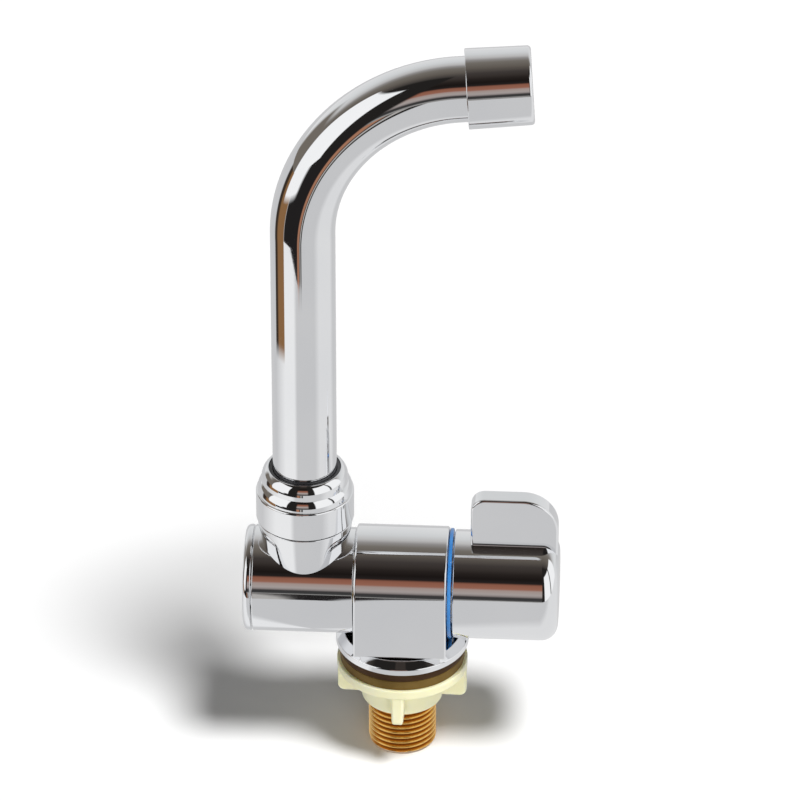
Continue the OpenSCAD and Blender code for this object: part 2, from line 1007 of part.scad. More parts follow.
valve_body();
threaded_shank();
base_gasket();
cold_ring();
cartridge_housing();
cartridge_o_ring();
seat_seal();
fixed_disc();
fold_spindle();
fold_o_rings();
friction_washer();
tension_washer();
lock_nut();
elbow_barrel();
end_cap();
collar_nut();
swivel_bush();
spout_tube();
spout_ferrule();
spout_o_rings();
nozzle_sleeve();
aerator_washer();
aerator_insert();
aerator_screen();
handle();
valve_stem();
moving_disc();
stem_o_ring();
stem_circlip();
grub_screw();
clamp_gasket();
wing_nut();
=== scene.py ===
import json
import math

import bmesh
import bpy
from mathutils import Matrix, Vector


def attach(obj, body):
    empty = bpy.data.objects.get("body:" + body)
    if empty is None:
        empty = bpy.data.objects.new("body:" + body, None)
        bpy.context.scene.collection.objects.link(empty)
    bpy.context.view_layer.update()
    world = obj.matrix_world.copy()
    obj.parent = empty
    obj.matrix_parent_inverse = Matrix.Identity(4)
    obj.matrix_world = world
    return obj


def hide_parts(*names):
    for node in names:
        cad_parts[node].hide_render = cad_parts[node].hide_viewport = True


# Folding caravan tap. The pieces that show are built again with fine edges and stand for their CAD nodes;
# the inner pieces keep their CAD shape.
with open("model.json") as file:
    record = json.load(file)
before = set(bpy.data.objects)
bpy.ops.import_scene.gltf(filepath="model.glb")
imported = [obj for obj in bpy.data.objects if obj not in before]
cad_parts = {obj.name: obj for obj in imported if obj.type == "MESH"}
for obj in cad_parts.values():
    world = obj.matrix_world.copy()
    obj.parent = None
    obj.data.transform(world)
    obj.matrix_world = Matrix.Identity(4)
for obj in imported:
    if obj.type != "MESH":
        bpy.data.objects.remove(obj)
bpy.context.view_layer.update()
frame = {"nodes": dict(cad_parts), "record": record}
BODIES = frame["record"]["behaviour"]["bodies"]
SLOTS = {row["node"]: row["material_slot"] for row in frame["record"]["subparts"]}

# Sizes are the CAD part's, in millimetres. Those that several pieces share are here, the others stand
# before their piece. Z is 0 between the two gaskets, and X runs along the axis about which the handle
# turns and the elbow folds.
MM = 0.001
AXIS_Z = 24.25
GASKET_T = 3.15
BODY_X = 14.2
FACE_X = 15.7
BARREL_R = 16.3
BARREL_X0 = -14.45
BARREL_X1 = -45.65
NECK_X = -29.75
SEAM_Z = 47.85
TUBE_R = 9.75
TUBE_END = 12.5
BEND_Z = 149.6
BEND_R = 49.0
BEND_ANGLE = 86.5
SPOUT_SWING = 4.0
THREAD_R = 10.4775
THREAD_ROOT_R = 9.3155
SHANK_END = -33.8

# How far a cut or a joined solid reaches past the faces that it meets
LAP = 1

# Places: the part's own frame, local +Z along the axis, and the neck's centre line
HERE = Matrix.Identity(4)
ALONG_AXIS = Matrix.Translation((0, 0, AXIS_Z)) @ Matrix.Rotation(math.radians(90), 4, "Y")
AT_NECK = Matrix.Translation((NECK_X, 0, 0))

# Outlines of u and v with a position across them: u, v, position to Y, Z, X, and to X, Z, -Y
ACROSS_X = Matrix(((0, 0, 1, 0), (1, 0, 0, 0), (0, 1, 0, 0), (0, 0, 0, 1)))
UPRIGHT = Matrix(((1, 0, 0, 0), (0, 0, -1, 0), (0, 1, 0, 0), (0, 0, 0, 1)))


# Outlines

def arc(centre, radius, start, stop, steps):
    """Points of an arc, in degrees."""
    points = []
    for k in range(steps + 1):
        a = math.radians(start + (stop - start) * k / steps)
        points.append((centre[0] + radius * math.cos(a), centre[1] + radius * math.sin(a)))
    return points


def rounded(points, steps=8):
    """Closed outline from (u, v, corner radius) points, with arcs at its corners."""
    out = []
    count = len(points)
    for i, (u, v, radius) in enumerate(points):
        here = Vector((u, v))
        if radius == 0:
            out.append((u, v))
            continue
        back = (Vector(points[i - 1][:2]) - here).normalized()
        on = (Vector(points[(i + 1) % count][:2]) - here).normalized()
        half = back.angle(on) / 2
        centre = here + (back + on).normalized() * radius / math.sin(half)
        a = here + back * radius / math.tan(half) - centre
        b = here + on * radius / math.tan(half) - centre
        start = math.atan2(a.y, a.x)
        sweep = (math.atan2(b.y, b.x) - start + math.pi) % (2 * math.pi) - math.pi
        for k in range(steps + 1):
            t = start + sweep * k / steps
            out.append((centre.x + radius * math.cos(t), centre.y + radius * math.sin(t)))
    return out


def circle(radii, z):
    """Ring of points about local Z, one for each radius."""
    points = []
    for k, r in enumerate(radii):
        t = 2 * math.pi * k / len(radii)
        points.append((r * math.cos(t), r * math.sin(t), z))
    return points


# Solids

ON_AXIS = 1e-6
MERGE = 1e-8
FINE_SEGMENTS = 192
ROD_SEGMENTS = 96


def mesh_object(name, verts, faces, place=HERE):
    """New mesh object from millimetre points."""
    mesh = bpy.data.meshes.new(name)
    mesh.from_pydata([(place @ Vector(v)) * MM for v in verts], [], faces)
    work = bmesh.new()
    work.from_mesh(mesh)
    bmesh.ops.remove_doubles(work, verts=work.verts, dist=MERGE)
    bmesh.ops.dissolve_degenerate(work, edges=work.edges, dist=MERGE)
    bmesh.ops.recalc_face_normals(work, faces=work.faces)
    work.to_mesh(mesh)
    work.free()
    obj = bpy.data.objects.new(name, mesh)
    bpy.context.scene.collection.objects.link(obj)
    return obj


def ring_faces(rows, count, closed=True):
    """Quads between rings of points; a closed skin joins the last ring to the first."""
    faces = []
    for i in range(rows if closed else rows - 1):
        j = (i + 1) % rows
        for k in range(count):
            n = (k + 1) % count
            faces.append([i * count + k, i * count + n, j * count + n, j * count + k])
    return faces


def lathe(name, profile, place=HERE, segments=FINE_SEGMENTS):
    """Closed solid turned from an outline of (radius, position) about local Z."""
    verts, rings, faces = [], [], []
    for r, a in profile:
        start = len(verts)
        if r < ON_AXIS:
            verts.append((0, 0, a))
            rings.append([start] * segments)
        else:
            verts += circle([r] * segments, a)
            rings.append(list(range(start, start + segments)))
    for i, low in enumerate(rings):
        high = rings[(i + 1) % len(rings)]
        if low[0] == low[1] and high[0] == high[1]:
            continue
        for k in range(segments):
            j = (k + 1) % segments
            face = [low[k], low[j], high[j], high[k]]
            faces.append(list(dict.fromkeys(face)))
    return mesh_object(name, verts, faces, place)


def rod(r, a0, a1, place=HERE, segments=ROD_SEGMENTS):
    """Plain solid for cutting or filling."""
    return lathe("rod", [(0, a0), (r, a0), (r, a1), (0, a1)], place, segments)


def slab(name, outline, a0, a1, edge, place, steps=6, slim=None):
    """Prism of a convex outline between two positions, with the edges of both ends rounded.

    slim gives the share of its thickness that is left at each v.
    """
    count = len(outline)
    normals = []
    for i in range(count):
        along = Vector(outline[(i + 1) % count]) - Vector(outline[i - 1])
        normals.append(Vector((along.y, -along.x)).normalized())
    levels = []
    for k in range(steps + 1):
        t = math.pi / 2 * k / steps
        levels.append((edge * (1 - math.sin(t)), a0 + edge * (1 - math.cos(t))))
    levels += [(inset, a0 + a1 - a) for inset, a in reversed(levels)]
    verts = []
    for inset, a in levels:
        for point, normal in zip(outline, normals):
            spot = Vector(point) - normal * inset
            verts.append((spot.x, spot.y, a * slim(spot.y) if slim else a))
    faces = ring_faces(len(levels), count, closed=False)
    faces.append(list(range(count))[::-1])
    faces.append([(len(levels) - 1) * count + k for k in range(count)])
    return mesh_object(name, verts, faces, place)


def combine(target, tool, how):
    """Boolean of two closed solids; the tool is used up."""
    step = target.modifiers.new("combine", "BOOLEAN")
    step.operation = how
    step.solver = "EXACT"
    step.object = tool
    bpy.context.view_layer.update()
    graph = bpy.context.evaluated_depsgraph_get()
    mesh = bpy.data.meshes.new_from_object(target.evaluated_get(graph))
    target.modifiers.clear()
    target.data = mesh
    bpy.data.objects.remove(tool)


def join(target, tool):
    combine(target, tool, "UNION")


def cut(target, tool):
    combine(target, tool, "DIFFERENCE")


SHARP_EDGE = 28
BIG_FACES_FIRST = 100


def finish_piece(obj, node, mat, sharp=SHARP_EDGE):
    """Smooth shading, a material, and the CAD node's body; the CAD node itself is hidden."""
    obj.data.shade_smooth()
    obj.data.set_sharp_from_angle(angle=math.radians(sharp))
    weigh = obj.modifiers.new("weigh", "WEIGHTED_NORMAL")
    weigh.keep_sharp = True
    weigh.weight = BIG_FACES_FIRST
    obj.data.materials.clear()
    obj.data.materials.append(mat)
    body = next(b for b, nodes in BODIES.items() if node in nodes)
    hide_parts(node)
    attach(obj, body)


# Shader nodes

class Tree:
    """A node tree, with short ways to add what this scene needs."""

    def __init__(self, tree):
        self.nodes = tree.nodes
        self.links = tree.links

    def add(self, kind):
        return self.nodes.new("ShaderNode" + kind)

    def link(self, source, socket):
        self.links.new(source, socket)

    def noise(self, where, scale, detail=3.0):
        node = self.add("TexNoise")
        node.inputs["Scale"].default_value = scale
        node.inputs["Detail"].default_value = detail
        self.link(where, node.inputs["Vector"])
        return node.outputs["Fac"]

    def span(self, value, low, high, to_low=0.0, to_high=1.0):
        """A range of a value, brought to another range and held at its ends."""
        node = self.add("MapRange")
        node.inputs["From Min"].default_value = low
        node.inputs["From Max"].default_value = high
        node.inputs["To Min"].default_value = to_low
        node.inputs["To Max"].default_value = to_high
        self.link(value, node.inputs["Value"])
        return node.outputs["Result"]

    def ramp(self, factor, stops):
        """Colour by a factor, from (position, colour) stops."""
        node = self.add("ValToRGB")
        band = node.color_ramp
        while len(band.elements) < len(stops):
            band.elements.new(0.5)
        for element, (position, colour) in zip(band.elements, stops):
            element.position = position
            element.color = (*colour, 1)
        self.link(factor, node.inputs["Fac"])
        return node.outputs["Color"]

    def colours(self, value, stops):
        """Colour along a coordinate, from (value, colour) stops."""
        low, high = stops[0][0], stops[-1][0]
        positions = [((a - low) / (high - low), colour) for a, colour in stops]
        return self.ramp(self.span(value, low, high), positions)

    def window(self, value, stops):
        """Share between 0 and 1 along a coordinate, from (value, share) stops."""
        return self.colours(value, [(a, (v, v, v)) for a, v in stops])

    def calc(self, how, first, second):
        """Arithmetic on two inputs, each a number or a socket."""
        node = self.add("Math")
        node.operation = how
        for socket, value in zip(node.inputs, (first, second)):
            if isinstance(value, (int, float)):
                socket.default_value = value
            else:
                self.link(value, socket)
        return node.outputs["Value"]

    def both(self, first, second):
        """Share where two shares hold."""
        return self.calc("MULTIPLY", first, second)

    def blend(self, share, base, top):
        """Base colour under another one, by a share; each is a colour or a socket."""
        node = self.add("Mix")
        node.data_type = "RGBA"
        self.link(share, node.inputs["Factor"])
        for socket, colour in ((node.inputs[6], base), (node.inputs[7], top)):
            if isinstance(colour, tuple):
                socket.default_value = (*colour, 1)
            else:
                self.link(colour, socket)
        return node.outputs[2]

    def bump(self, shader, height, strength, distance):
        node = self.add("Bump")
        node.inputs["Strength"].default_value = strength
        node.inputs["Distance"].default_value = distance
        self.link(height, node.inputs["Height"])
        self.link(node.outputs["Normal"], shader.inputs["Normal"])

    def mix(self, share, first, second):
        """First shader under the second, by a share."""
        node = self.add("MixShader")
        self.link(share, node.inputs["Fac"])
        self.link(first, node.inputs[1])
        self.link(second, node.inputs[2])
        return node.outputs["Shader"]


def turns(*stops):
    """Stops whose first value is in degrees, in radians."""
    return [(math.radians(a), v) for a, v in stops]


# Materials. Noise scales are per metre, and a noise's middle range is what the colours and gloss use.

CLOUD = (0.3, 0.7)
GRAIN_DETAIL = 4.0
GRAIN_DEPTH = 0.00002
SWELL_DETAIL = 1.0
SWELL_DEPTH = 0.001


def material(name):
    """New material with its node tree, its shader and its object coordinates."""
    mat = bpy.data.materials.new(name)
    mat.use_nodes = True
    tree = Tree(mat.node_tree)
    return mat, tree, tree.nodes["Principled BSDF"], tree.add("TexCoord").outputs["Object"]


def surface(name, dark, light, rough, metallic=0.0, scale=90.0, grain=900.0, relief=0.0):
    """Colour and gloss that vary softly, with a fine relief."""
    mat, tree, shader, where = material(name)
    cloud = tree.noise(where, scale)
    tree.link(tree.ramp(cloud, list(zip(CLOUD, (dark, light)))), shader.inputs["Base Color"])
    fine = tree.noise(where, grain, GRAIN_DETAIL)
    tree.link(tree.span(fine, *CLOUD, *rough), shader.inputs["Roughness"])
    shader.inputs["Metallic"].default_value = metallic
    if relief:
        tree.bump(shader, fine, relief, GRAIN_DEPTH)
    return mat, tree, shader, where


def chrome(name, wave, wave_scale):
    """Bright plating over polished metal whose surface is never quite flat."""
    mat, tree, shader, where = surface(
        name, (0.83, 0.84, 0.86), (0.88, 0.885, 0.895), (0.025, 0.05),
        metallic=1.0, scale=25.0, grain=700.0)
    tree.bump(shader, tree.noise(where, wave_scale, SWELL_DETAIL), wave, SWELL_DEPTH)
    return mat


def thread_brass(name):
    """Brass whose colour darkens from the thread's crests to its roots: painted shade in the thread's
    hollows.
    """
    painted_root_shade = (0.32, 0.13, 0.02)
    mat, tree, shader, where = surface(
        name, (0.82, 0.45, 0.11), (0.95, 0.60, 0.20), (0.15, 0.22),
        metallic=1.0, scale=60.0, grain=500.0, relief=0.02)
    bright = shader.inputs["Base Color"].links[0].from_socket
    flat = tree.add("VectorMath")
    flat.operation = "MULTIPLY"
    flat.inputs[1].default_value = (1, 1, 0)
    tree.link(where, flat.inputs[0])
    radius = tree.add("VectorMath")
    radius.operation = "LENGTH"
    tree.link(flat.outputs["Vector"], radius.inputs[0])
    # painted shade: the colour goes from the dark root colour at the root radius to the plain brass colour
    # at the crest radius
    crest = tree.span(radius.outputs["Value"], THREAD_ROOT_R * MM, THREAD_R * MM)
    tree.link(tree.blend(crest, painted_root_shade, bright), shader.inputs["Base Color"])
    return mat


def rubber(name, dark, light):
    """Dull rubber with a fine grain."""
    mat, _, shader, _ = surface(name, dark, light, (0.5, 0.62), scale=120.0, relief=0.08)
    shader.inputs["Specular IOR Level"].default_value = 0.12
    return mat


def nut_plastic(name):
    """Cream plastic that lets some light through."""
    mat, _, shader, _ = surface(
        name, (0.83, 0.80, 0.52), (0.87, 0.845, 0.59), (0.32, 0.42), scale=80.0, grain=600.0, relief=0.04)
    shader.inputs["Subsurface Weight"].default_value = 0.35
    shader.inputs["Subsurface Radius"].default_value = (0.004, 0.0034, 0.0016)
    shader.inputs["Subsurface Scale"].default_value = 1.0
    return mat


def plain(name, dark, light, rough, **more):
    """A surface with nothing added."""
    return surface(name, dark, light, rough, **more)[0]


CAST_CHROME = chrome("cast_chrome", 0.010, 70.0)
TUBE_CHROME = chrome("tube_chrome", 0.003, 40.0)
BRASS = thread_brass("thread_brass")
DARK_RUBBER = rubber("dark_rubber", (0.045, 0.020, 0.007), (0.070, 0.034, 0.013))
OLIVE_RUBBER = rubber("olive_rubber", (0.13, 0.078, 0.017), (0.18, 0.112, 0.030))
CREAM = nut_plastic("nut_cream")
BLUE = plain("ring_blue", (0.026, 0.165, 0.47), (0.042, 0.225, 0.57), (0.15, 0.24), scale=150.0)
DARK_PLASTIC = plain("bush_dark", (0.018, 0.018, 0.020), (0.030, 0.030, 0.033), (0.3, 0.42))

# Materials of the inner pieces, by their slot in the record
INNER = {
    "turned_brass": plain(
        "turned_brass", (0.62, 0.45, 0.18), (0.74, 0.57, 0.27), (0.2, 0.32), metallic=1.0, scale=70.0),
    "seal_rubber": plain(
        "seal_rubber", (0.012, 0.012, 0.013), (0.022, 0.022, 0.024), (0.4, 0.55), scale=150.0),
    "ceramic": plain("disc_ceramic", (0.80, 0.78, 0.72), (0.88, 0.86, 0.81), (0.12, 0.2)),
    "washer_plastic": plain("washer_white", (0.80, 0.80, 0.78), (0.86, 0.86, 0.84), (0.4, 0.5)),
    "aerator_plastic": plain("aerator_grey", (0.30, 0.31, 0.33), (0.38, 0.39, 0.41), (0.35, 0.45)),
    "steel": plain(
        "plain_steel", (0.48, 0.49, 0.51), (0.58, 0.59, 0.61), (0.22, 0.35), metallic=1.0, scale=120.0)}


# Valve body with its flange

FLANGE_R = 20.5
FLANGE_TOP = 7.05
FLANGE_RIM = 2.0
FLANGE_SLOPE = 2.3
FLANGE_LOW_EDGE = 0.3
FLANGE_RIM_EDGE = 0.6
FLANGE_TOP_EDGE = 0.8
PEDESTAL_R = 15.5
PEDESTAL_EDGE = 0.05
APRON_Z = 7.45
APRON_CORNER = 0.8
BODY_R = 17.5
BODY_EDGE = 0.7
SPIGOT_R = 13.0
SPIGOT_ROOT_X = 5
CARTRIDGE_R = 9.0
CARTRIDGE_X = -5
PASSAGE_R = 3.8
SPINDLE_SOCKET_R = 7.0
SPINDLE_SOCKET_DEPTH = 7
SHANK_SOCKET_R = 9.5
SHANK_SOCKET_TOP = 12.65


def body_section():
    """Arch over a straight apron, seen along X."""
    low = APRON_Z + APRON_CORNER
    side = BODY_R - APRON_CORNER
    points = arc((side, low), APRON_CORNER, -90, 0, 6)
    points += arc((0, AXIS_Z), BODY_R, 0, 180, 120)
    points += arc((-side, low), APRON_CORNER, 180, 270, 6)
    return points


def make_flange():
    return lathe("flange", rounded([
        (0, GASKET_T, 0), (FLANGE_R, GASKET_T, FLANGE_LOW_EDGE),
        (FLANGE_R, GASKET_T + FLANGE_RIM, FLANGE_RIM_EDGE),
        (FLANGE_R - FLANGE_SLOPE, FLANGE_TOP, FLANGE_TOP_EDGE), (0, FLANGE_TOP, 0)]))


def make_pedestal():
    """Round stand between flange and body, clipped to the body's length."""
    clip = math.degrees(math.acos((BODY_X - BODY_EDGE) / PEDESTAL_R))
    outline = arc((0, 0), PEDESTAL_R, clip, 180 - clip, 60)
    outline += arc((0, 0), PEDESTAL_R, 180 + clip, 360 - clip, 60)
    return slab("stand", outline, GASKET_T + LAP, APRON_Z + LAP, PEDESTAL_EDGE, HERE, steps=1)


def make_body():
    body = slab("tap_body", body_section(), -BODY_X, BODY_X, BODY_EDGE, ACROSS_X)
    join(body, make_flange())
    join(body, make_pedestal())
    join(body, rod(SPIGOT_R, SPIGOT_ROOT_X, FACE_X, ALONG_AXIS))
    cut(body, rod(CARTRIDGE_R, CARTRIDGE_X, FACE_X + LAP, ALONG_AXIS))
    cut(body, rod(PASSAGE_R, -BODY_X - LAP, CARTRIDGE_X + LAP, ALONG_AXIS))
    cut(body, rod(SPINDLE_SOCKET_R, -BODY_X - LAP, -BODY_X + SPINDLE_SOCKET_DEPTH, ALONG_AXIS))
    cut(body, rod(SHANK_SOCKET_R, 0, SHANK_SOCKET_TOP))
    finish_piece(body, "valve_body", CAST_CHROME)


# Blue ring, with a fine slot at both sides

RING_R = 17.0
RING_BORE_R = 13.02
RING_SLOT = 0.15
RING_EDGE = 0.45


def make_ring():
    x0, x1 = BODY_X + RING_SLOT, FACE_X - RING_SLOT
    ring = lathe("blue_ring", rounded([
        (RING_BORE_R, x0, 0), (RING_R, x0, RING_EDGE), (RING_R, x1, RING_EDGE), (RING_BORE_R, x1, 0)]),
        ALONG_AXIS)
    finish_piece(ring, "cold_ring", BLUE)


# Handle: hollow knob with its hub and lever; the lever's heights and the grub screw's depths are from
# the axis

KNOB_R = 16.7
KNOB_X = 16.0
KNOB_END = 48.1
KNOB_ROUND = 5.2
KNOB_RIM_EDGE = 0.35
KNOB_BORE_R = 14.3
KNOB_BORE_EDGE = 0.3
KNOB_END_WALL = 4.2
KNOB_FLOOR = KNOB_END - KNOB_END_WALL
HUB_R = 7.2
HUB_X = 21.55
HUB_EDGE = 0.3
STEM_BORE_R = 4.05
STEM_BORE_END = 30.7
LEVER_END_STEP = 0.4
LEVER_X0 = 21.0
LEVER_X1 = KNOB_END - LEVER_END_STEP
LEVER_FOOT = 4.0
LEVER_TOP = 32.9
LEVER_T = 6.2
LEVER_EDGE = 0.8
LEVER_FOOT_ROUND = 0.9
LEVER_INNER_ROUND = 4.2
LEVER_OUTER_ROUND = 11.0
LEVER_CUT_R = 14.8
LEVER_CUT_DEPTH = 0.6
GRUB_X = 26.0
GRUB_R = 2.02
GRUB_DEPTH = 18
GRUB_BOSS_R = 3.8
GRUB_BOSS_DEPTHS = (15.2, 6)


def make_knob():
    return lathe("lever_knob", rounded([
        (KNOB_R, KNOB_X, KNOB_RIM_EDGE), (KNOB_R, KNOB_END, KNOB_ROUND), (0, KNOB_END, 0),
        (0, STEM_BORE_END, 0), (STEM_BORE_R, STEM_BORE_END, 0), (STEM_BORE_R, HUB_X, 0),
        (HUB_R, HUB_X, HUB_EDGE), (HUB_R, KNOB_FLOOR, 0),
        (KNOB_BORE_R, KNOB_FLOOR, 0), (KNOB_BORE_R, KNOB_X, KNOB_BORE_EDGE)], 12), ALONG_AXIS)


def make_lever():
    """Flat lever, cut away where the knob is hollow."""
    outline = rounded([
        (LEVER_X0, LEVER_FOOT, LEVER_FOOT_ROUND), (LEVER_X1, LEVER_FOOT, LEVER_FOOT_ROUND),
        (LEVER_X1, LEVER_TOP, LEVER_OUTER_ROUND), (LEVER_X0, LEVER_TOP, LEVER_INNER_ROUND)], 16)
    on_axis = Matrix.Translation((0, 0, AXIS_Z)) @ UPRIGHT
    lever = slab("tab", outline, -LEVER_T / 2, LEVER_T / 2, LEVER_EDGE, on_axis)
    cut(lever, rod(LEVER_CUT_R, KNOB_X, KNOB_FLOOR + LEVER_CUT_DEPTH, ALONG_AXIS, FINE_SEGMENTS))
    return lever


def make_handle():
    at_grub = Matrix.Translation((GRUB_X, 0, 0))
    knob = make_knob()
    join(knob, make_lever())
    join(knob, rod(GRUB_BOSS_R, *(AXIS_Z - depth for depth in GRUB_BOSS_DEPTHS), at_grub))
    cut(knob, rod(GRUB_R, AXIS_Z - GRUB_DEPTH, AXIS_Z, at_grub))
    finish_piece(knob, "handle", CAST_CHROME)


# Folding elbow: barrel with its neck and threaded stub, then the bores through them

BARREL_CAP_SLOT = 0.2
BARREL_CAP_EDGE = 0.35
BARREL_EDGE = 0.25
NECK_FOOT_R = 12.4
NECK_SINK = 2.0
NECK_TOP_R = 14.65
NECK_TOP_EDGE = 0.25
STUB_R = 12.5
STUB_Z = 56.75
STUB_EDGE = 0.2
SPINDLE_BORE_R = 6.55
WASHER_RECESS_R = 9.2
WASHER_RECESS_X = -16.45
END_RECESS_R = 9.5
END_RECESS_X = -40.25
NECK_BORE_R = 9.0
NECK_BORE_Z = 40.4
ELBOW_PASSAGE_R = 4.8
ELBOW_PASSAGE_TOP = 41


def make_barrel():
    x1 = BARREL_X1 + BARREL_CAP_SLOT
    return lathe("elbow_casting", rounded([
        (0, x1, 0), (BARREL_R, x1, BARREL_CAP_EDGE), (BARREL_R, BARREL_X0, BARREL_EDGE),
        (0, BARREL_X0, 0)], 5), ALONG_AXIS)


def make_neck():
    """Cone that widens from inside the barrel to the seam, and the stub above it."""
    foot = math.sqrt(BARREL_R ** 2 - NECK_FOOT_R ** 2) - NECK_SINK
    return lathe("neck", rounded([
        (0, AXIS_Z, 0), (NECK_FOOT_R, AXIS_Z, 0), (NECK_FOOT_R, AXIS_Z + foot, 0),
        (NECK_TOP_R, SEAM_Z, NECK_TOP_EDGE), (STUB_R, SEAM_Z, 0), (STUB_R, STUB_Z, STUB_EDGE),
        (0, STUB_Z, 0)], 5), AT_NECK)


def make_elbow():
    elbow = make_barrel()
    join(elbow, make_neck())
    cut(elbow, rod(SPINDLE_BORE_R, BARREL_X1 - LAP, BARREL_X0 + LAP, ALONG_AXIS))
    cut(elbow, rod(WASHER_RECESS_R, WASHER_RECESS_X, BARREL_X0 + LAP, ALONG_AXIS))
    cut(elbow, rod(END_RECESS_R, BARREL_X1 - LAP, END_RECESS_X, ALONG_AXIS))
    cut(elbow, rod(NECK_BORE_R, NECK_BORE_Z, STUB_Z + LAP, AT_NECK))
    cut(elbow, rod(ELBOW_PASSAGE_R, AXIS_Z, ELBOW_PASSAGE_TOP, AT_NECK))
    finish_piece(elbow, "elbow_barrel", CAST_CHROME)


# End cap with its hollow spigot

CAP_X = -48.25
CAP_ROUND = 1.6
CAP_SLOT = 0.1
CAP_RIM_EDGE = 0.4
CAP_SPIGOT_R = 9.48
CAP_SPIGOT_BORE_R = 8.28
CAP_SPIGOT_LEN = 2
CAP_SPIGOT_EDGE = 0.2


def make_cap():
    rim, tip = BARREL_X1 - CAP_SLOT, BARREL_X1 + CAP_SPIGOT_LEN
    cap = lathe("end_cover", rounded([
        (0, CAP_X, 0), (BARREL_R, CAP_X, CAP_ROUND), (BARREL_R, rim, CAP_RIM_EDGE), (CAP_SPIGOT_R, rim, 0),
        (CAP_SPIGOT_R, tip, CAP_SPIGOT_EDGE), (CAP_SPIGOT_BORE_R, tip, CAP_SPIGOT_EDGE),
        (CAP_SPIGOT_BORE_R, BARREL_X1, 0), (0, BARREL_X1, 0)]), ALONG_AXIS)
    finish_piece(cap, "end_cap", CAST_CHROME)


# Collar nut with its skirt, bead, domed top and lip; heights are from the seam

COLLAR_R = 14.95
COLLAR_SLOT = 0.45
COLLAR_LOW_EDGE = 0.3
COLLAR_TOP_EDGE = 0.7
COLLAR_BORE_R = 12.52
COLLAR_SHOULDER = 11.85
COLLAR_MOUTH_R = 10.97
SKIRT_TOP = 10.2
SKIRT_RINGS = (1.5, 5.0, 8.5)
SKIRT_TURN = 80
BEAD_R = 4.8
BEAD_Z = 10.2
BEAD_INSET = 0.45
BEAD_ANGLES = (1.5, 44.0)
DOME_R = 4.6
DOME_Z = 14.5
DOME_INSET = 1.75
DOME_FOOT = 13.62
DOME_TURN = 50
LIP_R = 0.32
LIP_Z = 17.83
LIP_START = 55


def collar_profile():
    bead_u = COLLAR_R - BEAD_INSET - BEAD_R
    dome_u = COLLAR_R - DOME_INSET - DOME_R
    low_edge = (COLLAR_R - COLLAR_LOW_EDGE, COLLAR_SLOT + COLLAR_LOW_EDGE)
    top_edge = (COLLAR_R - COLLAR_TOP_EDGE, SKIRT_TOP - COLLAR_TOP_EDGE)
    profile = arc(low_edge, COLLAR_LOW_EDGE, -90, 0, 6)
    profile += [(COLLAR_R, z) for z in SKIRT_RINGS]
    profile += arc(top_edge, COLLAR_TOP_EDGE, 0, SKIRT_TURN, 10)
    profile += arc((bead_u, BEAD_Z), BEAD_R, *BEAD_ANGLES, 24)
    profile += [(dome_u + DOME_R, DOME_FOOT)]
    profile += arc((dome_u, DOME_Z), DOME_R, 0, DOME_TURN, 28)
    profile += arc((COLLAR_MOUTH_R + LIP_R, LIP_Z), LIP_R, LIP_START, 180, 8)
    profile += [(COLLAR_MOUTH_R, COLLAR_SHOULDER), (COLLAR_BORE_R, COLLAR_SHOULDER),
                (COLLAR_BORE_R, COLLAR_SLOT)]
    return profile


def make_collar():
    collar = lathe("collar", collar_profile(), Matrix.Translation((NECK_X, 0, SEAM_Z)))
    finish_piece(collar, "collar_nut", CAST_CHROME)


# Bush in the collar's mouth

BUSH_BORE_R = 9.85
BUSH_R = 10.95
BUSH_FLANGE_R = 12.25
BUSH_Z = 58.35
BUSH_FLANGE_TOP = 59.65
BUSH_TOP = 65.55
BUSH_EDGE = 0.15


def make_bush():
    bush = lathe("collar_bush", rounded([
        (BUSH_BORE_R, BUSH_Z, 0), (BUSH_FLANGE_R, BUSH_Z, 0), (BUSH_FLANGE_R, BUSH_FLANGE_TOP, 0),
        (BUSH_R, BUSH_FLANGE_TOP, 0), (BUSH_R, BUSH_TOP, BUSH_EDGE),
        (BUSH_BORE_R, BUSH_TOP, BUSH_EDGE)], 4), AT_NECK)
    finish_piece(bush, "swivel_bush", DARK_PLASTIC)


# Spout tube swept along its bend

TUBE_WALL = 1.0
TUBE_Z = 58.3
TUBE_RIM = 0.2
TUBE_SEGMENTS = 128
BEND_STEPS = 90


def at_bend(angle):
    """Local +Z along the tube, at an angle of the bend."""
    swing = Matrix.Rotation(math.radians(SPOUT_SWING), 4, "Z")
    turn = Matrix.Rotation(math.radians(angle), 4, "Y")
    start = Matrix.Translation((NECK_X, 0, BEND_Z)) @ swing
    return start @ Matrix.Translation((BEND_R, 0, 0)) @ turn @ Matrix.Translation((-BEND_R, 0, 0))


def spout_path():
    """Places along the spout, each with local +Z along the tube."""
    swing = Matrix.Rotation(math.radians(SPOUT_SWING), 4, "Z")
    places = [Matrix.Translation((NECK_X, 0, z)) @ swing for z in (TUBE_Z, TUBE_Z + TUBE_RIM)]
    places += [at_bend(BEND_ANGLE * k / BEND_STEPS) for k in range(BEND_STEPS + 1)]
    places.append(at_bend(BEND_ANGLE) @ Matrix.Translation((0, 0, TUBE_END)))
    return places


def make_spout():
    """Outer skin up the path and inner skin back down, joined at both ends."""
    places = spout_path()
    sections = [(TUBE_R, p) for p in places] + [(TUBE_R - TUBE_WALL, p) for p in reversed(places)]
    verts = [p @ Vector(point) for r, p in sections for point in circle([r] * TUBE_SEGMENTS, 0)]
    spout = mesh_object("spout_pipe", verts, ring_faces(len(sections), TUBE_SEGMENTS))
    finish_piece(spout, "spout_tube", TUBE_CHROME)


# Nozzle sleeve; positions are along the outlet from the end of the bend

NOZZLE_START = 2.5
NOZZLE_STOP = 22.0
NOZZLE_BORE_R = 9.77
NOZZLE_MOUTH_R = 10.52
NOZZLE_BACK_R = 11.97
NOZZLE_FRONT_R = 11.72
NOZZLE_BACK_EDGE = 0.3
NOZZLE_ROUND = 1.1
NOZZLE_MOUTH_EDGE = 0.25


